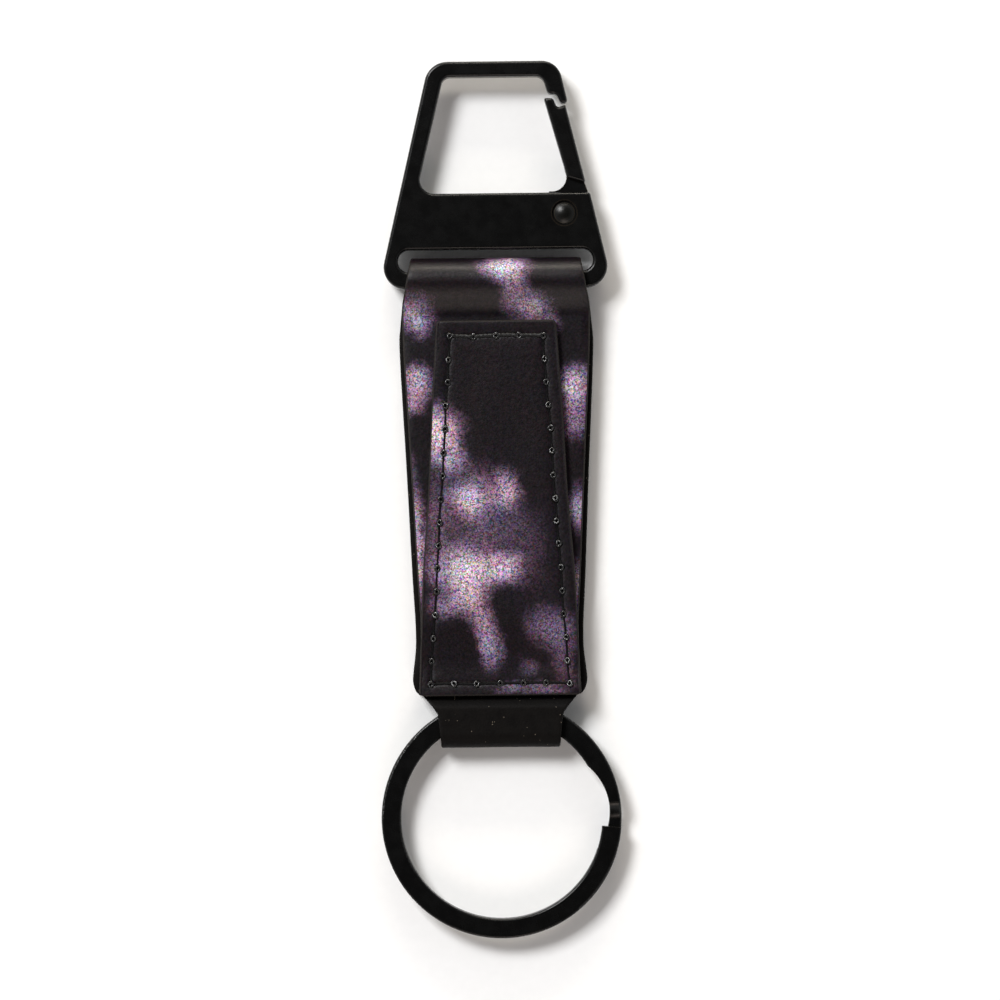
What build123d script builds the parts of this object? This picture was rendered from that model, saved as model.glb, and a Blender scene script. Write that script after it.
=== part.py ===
from build123d import *
import os
from math import cos, radians, sin, tan

# Key strap: a leather strap with a spring-gate clip at one end and a split key ring at the other.
# It lies on its back. +Z is up, +Y runs from the key ring to the clip, +X is to the right.
# The origin is under the middle of the whole object. All sizes are in millimetres.

# ---- Driving dimensions ----
CLIP_TOP_Y = 58.4               # outer edge of the clip's top bar
CLIP_THICKNESS = 3.0
CLIP_TOP_HALF_WIDTH = 8.57      # where the outer edges meet the top edge
CLIP_SIDE_TAPER_DEG = 13.2      # outer edges lean outwards towards the strap
TOP_BAR_WIDTH = 2.05
PLATE_TOP_Y = 40.85             # lower edge of the window
SLOT_TOP_Y = 33.4
SLOT_HEIGHT = 3.0
SLOT_HALF_WIDTH = 13.0
BAR_BOTTOM_Y = 28.2             # lower edge of the bar that the strap is folded over
EDGE_RADIUS = 0.4
HINGE_Y = 29.3                  # middle of that bar, the axis the clip swings about
HINGE_Z = 3.0

PIVOT_X = 9.25                  # rivet of the gate
PIVOT_Y = 38.1
RIVET_RADIUS = 0.85
RIVET_RUNNING_GAP = 0.05
RIVET_HEAD_RADIUS = 1.4
RECESS_RADIUS = 1.7
RECESS_DEPTH = 0.3
TONGUE_THICKNESS = 1.2
POCKET_HEIGHT = 1.4
POCKET_RADIUS = 3.6
SPRING_WIRE = 0.6

LEATHER = 1.2                   # printed leather of the strap
LINING = 1.0                    # black leather inside it
PANEL = 1.3                     # stitched front panel
PANEL_TOP_Y = 23.9
PANEL_BOTTOM_Y = -26.0
FOLD_INNER_RADIUS = 1.8

RING_OUTER_RADIUS = 16.0
RING_BAND = 2.6
COIL_THICKNESS = 1.2
COIL_GAP = 0.06
RING_Y = -42.4
LOOP_Z = 2.45                   # mid-plane of the ring and of the loop that holds it
LOOP_CAVITY = 2.8
LOOP_FLOOR = 0.05               # the loop's underside just clears the surface the strap lies on
LOOP_END_Y = -32.95
LINING_START_Y = 26.0
LINING_END_Y = -25.0            # past the last row of stitches, where the black leather starts to flex
FLEX_END_Y = -28.6

STITCH_TOP_Y = 21.8
STITCH_TOP_HALF = 6.2
STITCH_BOTTOM_Y = -24.4
STITCH_BOTTOM_HALF = 9.2
TOP_STITCHES = 4
BOTTOM_STITCHES = 6
SIDE_STITCHES = 15
THREAD = 0.6

# ---- Values worked out from them ----
CLIP_LOW = HINGE_Z - CLIP_THICKNESS / 2
CLIP_HIGH = HINGE_Z + CLIP_THICKNESS / 2
FOLD_OUTER_RADIUS = FOLD_INNER_RADIUS + LEATHER
LINING_MID = LEATHER + LINING                 # between the two black layers
LEG_LOW = LEATHER + 2 * LINING                # underside of the strap's front leg
PANEL_LOW = LEG_LOW + LEATHER
CAVITY_LOW = LOOP_Z - LOOP_CAVITY / 2
CAVITY_HIGH = LOOP_Z + LOOP_CAVITY / 2
LOOP_TOP = CAVITY_HIGH + LINING
WIDE = 40.0                                   # larger than the strap is wide or thick


def clip_side(y):
    """Half-width of the clip's outer outline at height y."""
    return CLIP_TOP_HALF_WIDTH + (CLIP_TOP_Y - y) * tan(radians(CLIP_SIDE_TAPER_DEG))


def rounded_face(corners):
    """Flat face through corners given as (x, y, radius)."""
    points = [(x, y) for x, y, radius in corners]
    radii = [radius for x, y, radius in corners]
    return make_face(FilletPolyline(*points, radius=radii, close=True))


def slab(face, low, high):
    """A plan face made solid between two heights."""
    return Pos(0, 0, low) * extrude(face, high - low)


def mirrored_plan(right_side):
    """Plan face between a right-hand outline, a list of edges from top to bottom, and its mirror image."""
    left_side = [mirror(edge, about=Plane.YZ) for edge in right_side]
    top = right_side[0] @ 0
    bottom = right_side[-1] @ 1
    edges = list(right_side) + left_side
    edges.append(Line((-top.X, top.Y), (top.X, top.Y)))
    edges.append(Line((-bottom.X, bottom.Y), (bottom.X, bottom.Y)))
    return make_face(edges)


def s_curve(y_start, z_start, y_end, z_end):
    """Side-view curve that leaves and arrives level, running towards the key ring."""
    return Spline((y_start, z_start), (y_end, z_end), tangents=((-1, 0), (-1, 0)))


def layer(edges, plan):
    """A leather layer: a closed side-view outline run across the strap and cut to a plan."""
    side = Plane.YZ * make_face(edges)
    run = extrude(side, WIDE / 2, both=True)
    return run & slab(plan, -WIDE / 2, WIDE / 2)


def soften(solid, radius, low, high):
    """Round the outline edges that lie in the planes z = low and z = high."""
    outline = solid.edges().filter_by_position(Axis.Z, low, low)
    outline += solid.edges().filter_by_position(Axis.Z, high, high)
    return fillet(outline, radius)


# ---- Clip ----
def gate_pocket():
    """Mid-plane pocket in the plate: the tongue's round seat, its mouth and a bay for the spring."""
    mouth_low = PIVOT_Y + 1.8
    mouth_high = PLATE_TOP_Y + 1.0
    mouth = Pos(PIVOT_X + 2.5, (mouth_low + mouth_high) / 2) * Rectangle(5.0, mouth_high - mouth_low)
    spring_bay = rounded_face([
        (PIVOT_X, PIVOT_Y + 1.6, 0.2),
        (4.0, 39.3, 0.5),
        (4.0, 36.2, 0.5),
        (6.6, 34.75, 0.5),
        (PIVOT_X, 34.75, 0.2),
    ])
    plan = Pos(PIVOT_X, PIVOT_Y) * Circle(POCKET_RADIUS) + mouth + spring_bay
    low = HINGE_Z - POCKET_HEIGHT / 2
    return slab(plan, low, low + POCKET_HEIGHT)


def make_clip_frame():
    """Flat frame: top bar, left arm, nose, plate and the strap bar under its slot."""
    window_top = CLIP_TOP_Y - TOP_BAR_WIDTH
    lip_y = 52.75
    outline = rounded_face([
        (-CLIP_TOP_HALF_WIDTH, CLIP_TOP_Y, 3.1),
        (CLIP_TOP_HALF_WIDTH, CLIP_TOP_Y, 2.7),
        (clip_side(lip_y), lip_y, 0.42),
        (8.9, lip_y, 0.42),
        (8.4, 53.95, 0.7),
        (7.25, 54.0, 0.6),
        (6.5, window_top, 1.2),
        (-6.72, window_top, 1.2),
        (-10.46, PLATE_TOP_Y, 1.9),
        (clip_side(PLATE_TOP_Y), PLATE_TOP_Y, 0.5),
        (clip_side(BAR_BOTTOM_Y), BAR_BOTTOM_Y, 2.9),
        (-clip_side(BAR_BOTTOM_Y), BAR_BOTTOM_Y, 2.9),
    ])
    slot_y = SLOT_TOP_Y - SLOT_HEIGHT / 2
    slot = Pos(0, slot_y) * SlotOverall(2 * SLOT_HALF_WIDTH, SLOT_HEIGHT)
    frame = soften(slab(outline - slot, CLIP_LOW, CLIP_HIGH), EDGE_RADIUS, CLIP_LOW, CLIP_HIGH)
    frame -= gate_pocket()
    recess = Cylinder(RECESS_RADIUS, RECESS_DEPTH)
    frame -= Pos(PIVOT_X, PIVOT_Y, CLIP_HIGH - RECESS_DEPTH / 2) * recess
    frame -= Pos(PIVOT_X, PIVOT_Y, CLIP_LOW + RECESS_DEPTH / 2) * recess
    frame -= Pos(PIVOT_X, PIVOT_Y, HINGE_Z) * Cylinder(RIVET_RADIUS, WIDE)
    return frame


def make_clip_gate():
    """Gate: a full-thickness arm with an S-shaped tip, and a thin tongue that turns on the rivet."""
    arm = rounded_face([
        (6.68, 53.42, 0.2),
        (7.85, 53.42, 0.4),
        (8.45, 52.15, 0.4),
        (9.55, 52.5, 0.15),
        (12.13, 42.1, 0.2),
        (9.62, 42.85, 0.2),
        (9.3, 44.2, 3.0),
    ])
    arm_solid = soften(slab(arm, CLIP_LOW, CLIP_HIGH), EDGE_RADIUS, CLIP_LOW, CLIP_HIGH)
    tongue = rounded_face([
        (9.58, 44.0, 0.3),
        (11.3, 44.0, 0.3),
        (12.42, 40.95, 0.4),
        (12.1, 40.1, 0.5),
        (PIVOT_X, PIVOT_Y, 0.2),
        (6.15, 39.4, 0.15),
        (7.28, 41.03, 0.2),
        (9.58, 41.03, 1.9),
    ])
    tongue += Pos(PIVOT_X, PIVOT_Y) * Circle(2.2)
    tongue_low = HINGE_Z - TONGUE_THICKNESS / 2
    gate = arm_solid + slab(tongue, tongue_low, tongue_low + TONGUE_THICKNESS)
    return gate - Pos(PIVOT_X, PIVOT_Y, HINGE_Z) * Cylinder(RIVET_RADIUS + RIVET_RUNNING_GAP, WIDE)


def make_gate_rivet():
    """Rivet with a domed head in each recess."""
    seat = CLIP_THICKNESS / 2 - RECESS_DEPTH
    dome_rise = 0.42
    dome_radius = (RIVET_HEAD_RADIUS ** 2 + dome_rise ** 2) / (2 * dome_rise)
    dome = Pos(0, 0, seat + dome_rise - dome_radius) * Sphere(dome_radius)
    head = dome & (Pos(0, 0, seat + dome_rise / 2) * Cylinder(RIVET_HEAD_RADIUS, dome_rise))
    rivet = Cylinder(RIVET_RADIUS, 2 * seat) + head + Rot(180, 0, 0) * head
    return Pos(PIVOT_X, PIVOT_Y, HINGE_Z) * rivet


def make_gate_spring():
    """Hairpin spring between the tongue's lobe and the lower wall of the pocket."""
    path = FilletPolyline((6.7, 38.68), (4.2, 37.5), (7.6, 35.08), radius=0.6)
    start = Plane(origin=path @ 0, z_dir=path % 0)
    wire = sweep(start * Circle(SPRING_WIRE / 2), path=path)
    return Pos(0, 0, HINGE_Z) * wire


# ---- Strap ----
def strap_plan():
    """Plan of the printed leather: narrow in the slot, widest below it, then a long taper."""
    shoulder = Spline((11.3, 32.6), (12.0, 28.5), (12.5, 25.4), (12.45, 22.0))
    taper = Line((12.45, 22.0), (10.5, -17.5))
    flare = Spline((10.5, -17.5), (11.0, -23.4), tangents=((-0.05, -1), (0.02, -1)))
    corner = ThreePointArc((11.0, -23.4), (10.55, -24.95), (9.6, -25.6))
    return mirrored_plan([shoulder, taper, flare, corner])


def lining_plan():
    """Plan of the black leather: it shows as a band beside the print and necks down to the loop."""
    shoulder = Spline((12.5, LINING_START_Y), (12.72, 23.2), (12.85, 20.5))
    taper = Line((12.85, 20.5), (11.07, -18.5))
    flare = Spline((11.07, -18.5), (11.56, -23.7), tangents=((-0.04, -1), (0.02, -1)))
    corner = ThreePointArc((11.56, -23.7), (11.25, -25.1), (10.3, -26.0))
    neck = Spline((10.3, -26.0), (9.6, -26.8), (8.85, -27.7), (8.35, FLEX_END_Y))
    side = Line((8.35, FLEX_END_Y), (7.85, LOOP_END_Y - 1.0))
    return mirrored_plan([shoulder, taper, flare, corner, neck, side])


def make_clip_strap():
    """Printed strap: back leg, fold over the clip's bar, and front leg that ends under the panel."""
    back_end = -25.6
    skive_start = -22.5
    leg_start = 24.3
    leg_end = -18.6
    leg_skive = -15.0
    fold_top = HINGE_Z + FOLD_OUTER_RADIUS
    fold_top_inner = HINGE_Z + FOLD_INNER_RADIUS
    fold_low_inner = HINGE_Z - FOLD_INNER_RADIUS
    back_end_top = 0.25
    leg_end_top = PANEL_LOW - 0.3
    edges = [
        Line((back_end, 0), (HINGE_Y, 0)),
        ThreePointArc((HINGE_Y, 0), (HINGE_Y + FOLD_OUTER_RADIUS, HINGE_Z), (HINGE_Y, fold_top)),
        s_curve(HINGE_Y, fold_top, leg_start, PANEL_LOW),
        Line((leg_start, PANEL_LOW), (leg_skive, PANEL_LOW)),
        Line((leg_skive, PANEL_LOW), (leg_end, leg_end_top)),
        Line((leg_end, leg_end_top), (leg_end, LEG_LOW)),
        Line((leg_end, LEG_LOW), (leg_start, LEG_LOW)),
        s_curve(HINGE_Y, fold_top_inner, leg_start, LEG_LOW),
        ThreePointArc(
            (HINGE_Y, fold_top_inner),
            (HINGE_Y + FOLD_INNER_RADIUS, HINGE_Z),
            (HINGE_Y, fold_low_inner),
        ),
        Line((HINGE_Y, fold_low_inner), (skive_start, LEATHER)),
        s_curve(skive_start, LEATHER, back_end, back_end_top),
        Line((back_end, back_end_top), (back_end, 0)),
    ]
    return layer(edges, strap_plan())


def lining_back_edges(start, end):
    """Side view of the back layer of black leather: level, then dropping towards the loop."""
    level_end = -22.5
    return [
        Line((start, LEATHER), (start, LINING_MID)),
        Line((start, LINING_MID), (level_end, LINING_MID)),
        s_curve(level_end, LINING_MID, -26.6, CAVITY_LOW),
        Line((-26.6, CAVITY_LOW), (end, CAVITY_LOW)),
        Line((end, CAVITY_LOW), (end, LOOP_FLOOR)),
        Line((end, LOOP_FLOOR), (-27.4, LOOP_FLOOR)),
        s_curve(level_end, LEATHER, -27.4, LOOP_FLOOR),
        Line((level_end, LEATHER), (start, LEATHER)),
    ]


def lining_front_edges(start, end):
    """Side view of the front layer: level, up under the panel's end, then over the ring."""
    level_end = -19.0
    stitched = LINING_MID + 0.55
    return [
        Line((start, LINING_MID), (start, LEG_LOW)),
        Line((start, LEG_LOW), (level_end, LEG_LOW)),
        s_curve(level_end, LEG_LOW, -23.0, stitched + LINING),
        Line((-23.0, stitched + LINING), (-25.2, stitched + LINING)),
        s_curve(-25.2, stitched + LINING, -27.8, LOOP_TOP),
        Line((-27.8, LOOP_TOP), (end, LOOP_TOP)),
        Line((end, LOOP_TOP), (end, CAVITY_HIGH)),
        Line((end, CAVITY_HIGH), (-27.2, CAVITY_HIGH)),
        s_curve(-24.6, stitched, -27.2, CAVITY_HIGH),
        Line((-24.6, stitched), (-23.0, stitched)),
        s_curve(level_end, LINING_MID, -23.0, stitched),
        Line((level_end, LINING_MID), (start, LINING_MID)),
    ]


def between(solid, y_low, y_high):
    """The part of a solid between two places along the strap."""
    middle = (y_low + y_high) / 2
    return solid & (Pos(0, middle, 0) * Box(WIDE, y_high - y_low, WIDE))


def make_ring_loop():
    """Closed end of the black leather, folded round the split ring."""
    plan = lining_plan()
    cavity_end = LOOP_END_Y + LINING
    outer = rounded_face([
        (FLEX_END_Y, LOOP_FLOOR, 0.01),
        (FLEX_END_Y, LOOP_TOP, 0.01),
        (LOOP_END_Y, LOOP_TOP, 1.9),
        (LOOP_END_Y, LOOP_FLOOR, 1.9),
    ])
    cavity = rounded_face([
        (FLEX_END_Y + 1, CAVITY_LOW, 0.01),
        (FLEX_END_Y + 1, CAVITY_HIGH, 0.01),
        (cavity_end, CAVITY_HIGH, 0.9),
        (cavity_end, CAVITY_LOW, 0.9),
    ])
    run = extrude(Plane.YZ * (outer - cavity), WIDE / 2, both=True)
    loop = run & slab(plan, -WIDE / 2, WIDE / 2)
    return between(loop, LOOP_END_Y - 1, FLEX_END_Y)


def panel_side(under, over):
    """Side view of a layer that follows the panel, from one height above its underside to another."""
    dip_start = -16.0
    dip = -22.0
    flat = PANEL_LOW
    dipped = PANEL_LOW - 0.55
    lifted = PANEL_LOW - 0.35
    return [
        Line((PANEL_TOP_Y, flat + under), (PANEL_TOP_Y, flat + over)),
        Line((PANEL_TOP_Y, flat + over), (dip_start, flat + over)),
        s_curve(dip_start, flat + over, dip, dipped + over),
        s_curve(dip, dipped + over, PANEL_BOTTOM_Y, lifted + over),
        Line((PANEL_BOTTOM_Y, lifted + over), (PANEL_BOTTOM_Y, lifted + under)),
        s_curve(dip, dipped + under, PANEL_BOTTOM_Y, lifted + under),
        s_curve(dip_start, flat + under, dip, dipped + under),
        Line((dip_start, flat + under), (PANEL_TOP_Y, flat + under)),
    ]


def make_front_panel():
    """Stitched front panel, dipping a little where the strap's front leg ends beneath it."""
    side = Spline(
        (7.95, PANEL_TOP_Y),
        (8.15, 21.3),
        (8.48, 16.0),
        (8.75, 11.6),
        (9.32, 0.5),
        (10.1, -9.7),
        (10.45, -17.5),
        (10.8, PANEL_BOTTOM_Y),
    )
    plan = fillet(mirrored_plan([side]).vertices(), 0.6)
    return layer(panel_side(0, PANEL), plan)


def stitch_corners():
    """Corners of the stitch line, clockwise from the top left."""
    return [
        (-STITCH_TOP_HALF, STITCH_TOP_Y),
        (STITCH_TOP_HALF, STITCH_TOP_Y),
        (STITCH_BOTTOM_HALF, STITCH_BOTTOM_Y),
        (-STITCH_BOTTOM_HALF, STITCH_BOTTOM_Y),
    ]


def stitch_holes():
    """Hole positions round the panel, evenly spaced along each side of the stitch line."""
    corners = stitch_corners()
    counts = [TOP_STITCHES, SIDE_STITCHES, BOTTOM_STITCHES, SIDE_STITCHES]
    holes = []
    for index, count in enumerate(counts):
        x0, y0 = corners[index]
        x1, y1 = corners[(index + 1) % len(corners)]
        for step in range(count):
            part_way = step / count
            holes.append((x0 + (x1 - x0) * part_way, y0 + (y1 - y0) * part_way))
    return holes


def make_sewing_thread():
    """Saddle stitch: a run of thread sunk in each face, joined through every hole."""
    sunk = 0.45
    line = make_face(Polyline(*stitch_corners(), close=True))
    band = offset(line, THREAD / 2) - offset(line, -THREAD / 2)
    front_run = layer(panel_side(PANEL - sunk, PANEL + THREAD - sunk), band)
    back_run = slab(band, 0, sunk)
    low = sunk / 2
    below_front_run = layer(panel_side(-WIDE / 2, PANEL - low), offset(line, THREAD))
    shanks = []
    for x, y in stitch_holes():
        shank = Pos(x, y, low + WIDE / 2) * Cylinder(THREAD / 2 - 0.05, WIDE)
        shanks.append(shank & below_front_run)
    return front_run.fuse(back_run, *shanks)


# ---- Split ring ----
def wire_section(angle_deg, height):
    """Cross-section of the ring's flat wire at an angle round the ring and a height of its middle."""
    middle = RING_OUTER_RADIUS - RING_BAND / 2
    angle = radians(angle_deg)
    place = Plane(
        origin=(middle * cos(angle), middle * sin(angle), height),
        x_dir=(cos(angle), sin(angle), 0),
        z_dir=(sin(angle), -cos(angle), 0),
    )
    return place * RectangleRounded(RING_BAND, COIL_THICKNESS, 0.3)


def make_split_ring():
    """Two flat coils of one wire, joined by a short ramp beside the upper coil's cut end."""
    level = (COIL_THICKNESS + COIL_GAP) / 2
    upper_end = -5.0
    ramp_high = 8.0
    ramp_low = -1.0
    lower_end = 12.0
    upper_span = 360 + upper_end - ramp_high
    lower_span = 360 + ramp_low - lower_end
    upper = revolve(wire_section(ramp_high, level), axis=Axis.Z, revolution_arc=upper_span)
    lower = revolve(wire_section(lower_end, -level), axis=Axis.Z, revolution_arc=lower_span)
    sections = []
    steps = 4
    for step in range(steps + 1):
        part_way = step / steps
        drop = part_way ** 2 * (3 - 2 * part_way)
        angle = ramp_high + (ramp_low - ramp_high) * part_way
        sections.append(wire_section(angle, level - 2 * level * drop))
    ramp = loft(sections)
    bite_radius = 8.0
    bite_angle = radians(6.0)
    bite_depth = 1.05
    bite_reach = RING_OUTER_RADIUS - RING_BAND + bite_depth - bite_radius
    bite = Pos(bite_reach * cos(bite_angle), bite_reach * sin(bite_angle), 0) * Cylinder(bite_radius, WIDE)
    bite -= Rot(0, 0, upper_end + 3) * Pos(0, -WIDE / 2, WIDE / 2) * Box(WIDE * 2, WIDE, WIDE)
    ring = upper + ramp + lower - bite
    return Pos(0, RING_Y, LOOP_Z) * ring


def make_parts():
    """Every node by name."""
    plan = lining_plan()
    black_back = layer(lining_back_edges(LINING_START_Y, FLEX_END_Y), plan)
    black_front = layer(lining_front_edges(LINING_START_Y, FLEX_END_Y), plan)
    return {
        "clip_frame": make_clip_frame(),
        "clip_gate": make_clip_gate(),
        "gate_rivet": make_gate_rivet(),
        "gate_spring": make_gate_spring(),
        "clip_strap": make_clip_strap(),
        "lining_back": between(black_back, LINING_END_Y, LINING_START_Y + 1),
        "lining_front": between(black_front, LINING_END_Y, LINING_START_Y + 1),
        "neck_back": between(black_back, FLEX_END_Y, LINING_END_Y),
        "neck_front": between(black_front, FLEX_END_Y, LINING_END_Y),
        "ring_loop": make_ring_loop(),
        "front_panel": make_front_panel(),
        "sewing_thread": make_sewing_thread(),
        "split_ring": make_split_ring(),
    }


os.makedirs("parts", exist_ok=True)
for name, solid in make_parts().items():
    export_step(solid, f"parts/{name}.step")
    print(name, round(solid.volume, 2))
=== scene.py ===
"""Looks of the key strap: printed leather, black leather, waxed thread and black-coated metal.

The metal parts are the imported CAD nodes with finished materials. The leather, the sewing and the
gate's spring are built here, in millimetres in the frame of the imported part, and stand for the
plain CAD solids.
"""

import math

import bpy
import numpy as np
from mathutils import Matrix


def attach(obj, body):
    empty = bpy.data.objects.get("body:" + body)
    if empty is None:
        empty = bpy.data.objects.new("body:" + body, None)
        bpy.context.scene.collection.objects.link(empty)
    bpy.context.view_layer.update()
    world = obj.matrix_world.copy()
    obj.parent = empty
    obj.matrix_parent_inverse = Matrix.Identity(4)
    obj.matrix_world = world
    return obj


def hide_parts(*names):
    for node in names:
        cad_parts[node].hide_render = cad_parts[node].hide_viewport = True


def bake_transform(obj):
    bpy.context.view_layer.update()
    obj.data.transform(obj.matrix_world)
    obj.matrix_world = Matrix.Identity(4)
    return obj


MM = 0.001

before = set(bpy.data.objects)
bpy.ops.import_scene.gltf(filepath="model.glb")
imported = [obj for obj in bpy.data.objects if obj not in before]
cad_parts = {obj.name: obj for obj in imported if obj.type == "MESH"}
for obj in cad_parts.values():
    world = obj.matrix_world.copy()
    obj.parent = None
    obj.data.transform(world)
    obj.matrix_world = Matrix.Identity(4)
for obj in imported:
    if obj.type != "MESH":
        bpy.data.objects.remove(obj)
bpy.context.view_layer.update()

# ---- Sizes of the strap, in millimetres, as in the part's own source ----
LEATHER = 1.2
LINING = 1.0
PANEL = 1.3
LINING_LOW = LEATHER
LINING_MID = LEATHER + LINING
LEG_LOW = LEATHER + 2 * LINING
PANEL_LOW = LEG_LOW + LEATHER

FOLD_Y = 29.3                   # the clip's bar, which the strap is folded over
FOLD_Z = 3.0
CLIP_Z = FOLD_Z
FOLD_OUTER = 3.0
FOLD_INNER = 1.8
LEG_START = 24.3
LEG_SKIVE = -15.0
LEG_END = -18.6
BACK_SKIVE = -22.5
BACK_END = -25.6
BACK_END_THICKNESS = 0.3        # the back leg is pared down to this at its end
PANEL_TOP = 23.9
PANEL_BOTTOM = -26.0
LINING_TOP = 26.0
LOOP_CORNER_Y = -31.05
LOOP_LOW = 0.05
LOOP_HIGH = 4.85
NECK_END = -28.6                # here the neck has narrowed to the width of the loop
STITCHED_LIFT = 0.55            # gap that the sewn end leaves between the two black layers

SPRING_RADIUS = 0.34            # the wire of the gate's spring

STITCH_CORNERS = ((-6.2, 21.8), (6.2, 21.8), (9.2, -24.4), (-9.2, -24.4))
STITCH_COUNTS = (4, 15, 6, 15)

EDGE = 0.26                     # rounding of the leather's cut edges


# ---- Profiles ----
def smooth(t):
    t = np.clip(t, 0.0, 1.0)
    return t * t * (3.0 - 2.0 * t)


def ramp(y, start, before, end, after):
    """A level, an S-curve and another level, from start to end."""
    return before + (after - before) * smooth((np.asarray(y, float) - start) / (end - start))


def curve(y, points):
    """Smooth curve through (y, value) points listed from high y to low y, without overshoot."""
    ys, vs = np.array(points[::-1], float).T
    secants = np.diff(vs) / np.diff(ys)
    slopes = np.concatenate([secants[:1], np.zeros(len(ys) - 2), secants[-1:]])
    for k, (before, after) in enumerate(zip(secants, secants[1:]), 1):
        if before * after > 0:
            slopes[k] = 2 * before * after / (before + after)
    y = np.clip(np.asarray(y, float), ys[0], ys[-1])
    k = np.clip(np.searchsorted(ys, y) - 1, 0, len(ys) - 2)
    step = ys[k + 1] - ys[k]
    t = (y - ys[k]) / step
    rise = vs[k + 1] - vs[k]
    a = slopes[k] * step - rise
    b = rise - slopes[k + 1] * step
    return vs[k] + t * rise + t * (1 - t) * (a * (1 - t) + b * t)


def rounded_corner(y, start, width, end, end_width):
    """Half-width round a bottom corner, a quarter of an ellipse."""
    t = np.clip((start - np.asarray(y, float)) / (start - end), 0.0, 1.0)
    return end_width + (width - end_width) * np.sqrt(1 - t * t)


def strap_half(y):
    """Half-width of the printed strap."""
    body = curve(y, [(32.6, 11.3), (28.5, 12.0), (25.4, 12.5), (22.0, 12.45), (6.0, 11.66),
                     (-10.0, 10.87), (-17.5, 10.5), (-23.4, 11.0)])
    corner = rounded_corner(y, -23.4, 11.0, BACK_END, 9.6)
    return np.where(np.asarray(y) > -23.4, body, corner)


def lining_half(y):
    """Half-width of the black leather, which necks down to the loop."""
    y = np.asarray(y, float)
    body = curve(y, [(LINING_TOP, 12.5), (24.5, 12.65), (22.9, 12.8), (21.3, 12.93), (18.1, 12.84),
                     (11.7, 12.54), (5.0, 12.2), (-10.0, 11.54), (-18.5, 11.16), (-23.7, 11.62)])
    corner = rounded_corner(y, -23.7, 11.62, -26.0, 10.3)
    neck = curve(y, [(-26.0, 10.3), (-26.8, 9.6), (-27.7, 8.85), (NECK_END, 8.35), (-34.0, 7.85)])
    return np.where(y > -23.7, body, np.where(y > -26.0, corner, neck))


def panel_half(y):
    """Half-width of the front panel, with small rounded corners."""
    y = np.asarray(y, float)
    side = curve(y, [(PANEL_TOP, 7.95), (21.3, 8.15), (16.0, 8.48), (11.6, 8.75), (0.5, 9.32), (-9.7, 10.1),
                     (-17.5, 10.45), (PANEL_BOTTOM, 10.8)])
    corner = 0.55
    from_end = np.minimum(PANEL_TOP - y, y - PANEL_BOTTOM)
    t = np.clip(1 - from_end / corner, 0.0, 1.0)
    return side - corner * (1 - np.sqrt(1 - t * t))


def panel_dip(y):
    """The panel sinks a little where the strap's front leg ends beneath it."""
    return ramp(y, -16.0, 0.0, -22.0, -0.55) + ramp(y, -22.0, 0.0, PANEL_BOTTOM, 0.2)


def panel_top(y):
    return PANEL_LOW + PANEL + panel_dip(y)


# ---- Stitch line ----
def stitch_holes():
    """Hole positions round the panel, a little uneven because the strap is sewn by hand."""
    random = np.random.default_rng(7)
    holes = []
    for index, count in enumerate(STITCH_COUNTS):
        x0, y0 = STITCH_CORNERS[index]
        x1, y1 = STITCH_CORNERS[(index + 1) % 4]
        for step in range(count):
            part_way = step / count
            wobble = random.uniform(-0.09, 0.09, 2)
            holes.append((x0 + (x1 - x0) * part_way + wobble[0], y0 + (y1 - y0) * part_way + wobble[1]))
    return np.array(holes)


HOLES = stitch_holes()
NEXT_HOLES = np.roll(HOLES, -1, axis=0)


def stitch_x(y):
    """Distance of the side stitches from the middle of the strap."""
    (_, top), (x_top, _), (x_bottom, bottom), _ = STITCH_CORNERS
    return x_top + (x_bottom - x_top) * (top - np.asarray(y, float)) / (top - bottom)


def stitch_distances(x, y):
    """Distance from points to the line of stitches, and to the nearest hole."""
    points = np.stack([x, y], 1)[:, None, :]
    along = NEXT_HOLES - HOLES
    t = np.clip(((points - HOLES) * along).sum(2) / (along ** 2).sum(1), 0.0, 1.0)
    to_line = np.linalg.norm(points - (HOLES + t[:, :, None] * along), axis=2).min(1)
    to_hole = np.linalg.norm(points - HOLES, axis=2).min(1)
    return to_line, to_hole


def sewn_relief(x, y, depth):
    """Leather pulled down along the stitches and into the holes, and a little over a wider band on both
    sides.
    """
    to_line, to_hole = stitch_distances(x, y)
    groove = np.exp(-((to_line / 0.2) ** 2))
    hole = np.exp(-((to_hole / 0.34) ** 2))
    pull = np.exp(-((to_line / 0.85) ** 2))
    return -depth * (0.55 * groove + 0.7 * hole + 0.22 * pull)


def waves(x, y, height, length, seed):
    """Slow unevenness of hand-made leather, as a few sine waves in mixed directions."""
    random = np.random.default_rng(seed)
    total = np.zeros_like(x)
    for _ in range(6):
        angle = random.uniform(0, 2 * math.pi)
        size = length * random.uniform(0.6, 1.6)
        phase = random.uniform(0, 2 * math.pi)
        total += np.sin((x * math.cos(angle) + y * math.sin(angle)) * 2 * math.pi / size + phase)
    return total * height / 6


# ---- Leather meshes ----
def stations(*stops):
    """Places along the strap: (first, last, step) runs joined end to end."""
    places = []
    for first, last, step in stops:
        count = max(1, round(abs(last - first) / step))
        places.extend(np.linspace(first, last, count, endpoint=False))
    places.append(stops[-1][1])
    return np.array(places)


def sewn_columns(y, reach, fine):
    """Places across the strap, close together along the two side stitch lines."""
    line = float(np.clip(stitch_x(y), 3.0, reach - 0.75))
    near = np.array([-0.6, -0.42, -0.28, -0.17, -0.08, 0.0, 0.08, 0.17, 0.28, 0.42, 0.6]) + line
    inside = np.linspace(0, near[0], fine, endpoint=False)
    outside = np.linspace(near[-1], reach, 6)[1:]
    half = np.concatenate([inside, near, outside])
    return np.concatenate([-half[:0:-1], half])


def plain_columns(y, reach, count):
    return np.linspace(-reach, reach, count)


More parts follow.
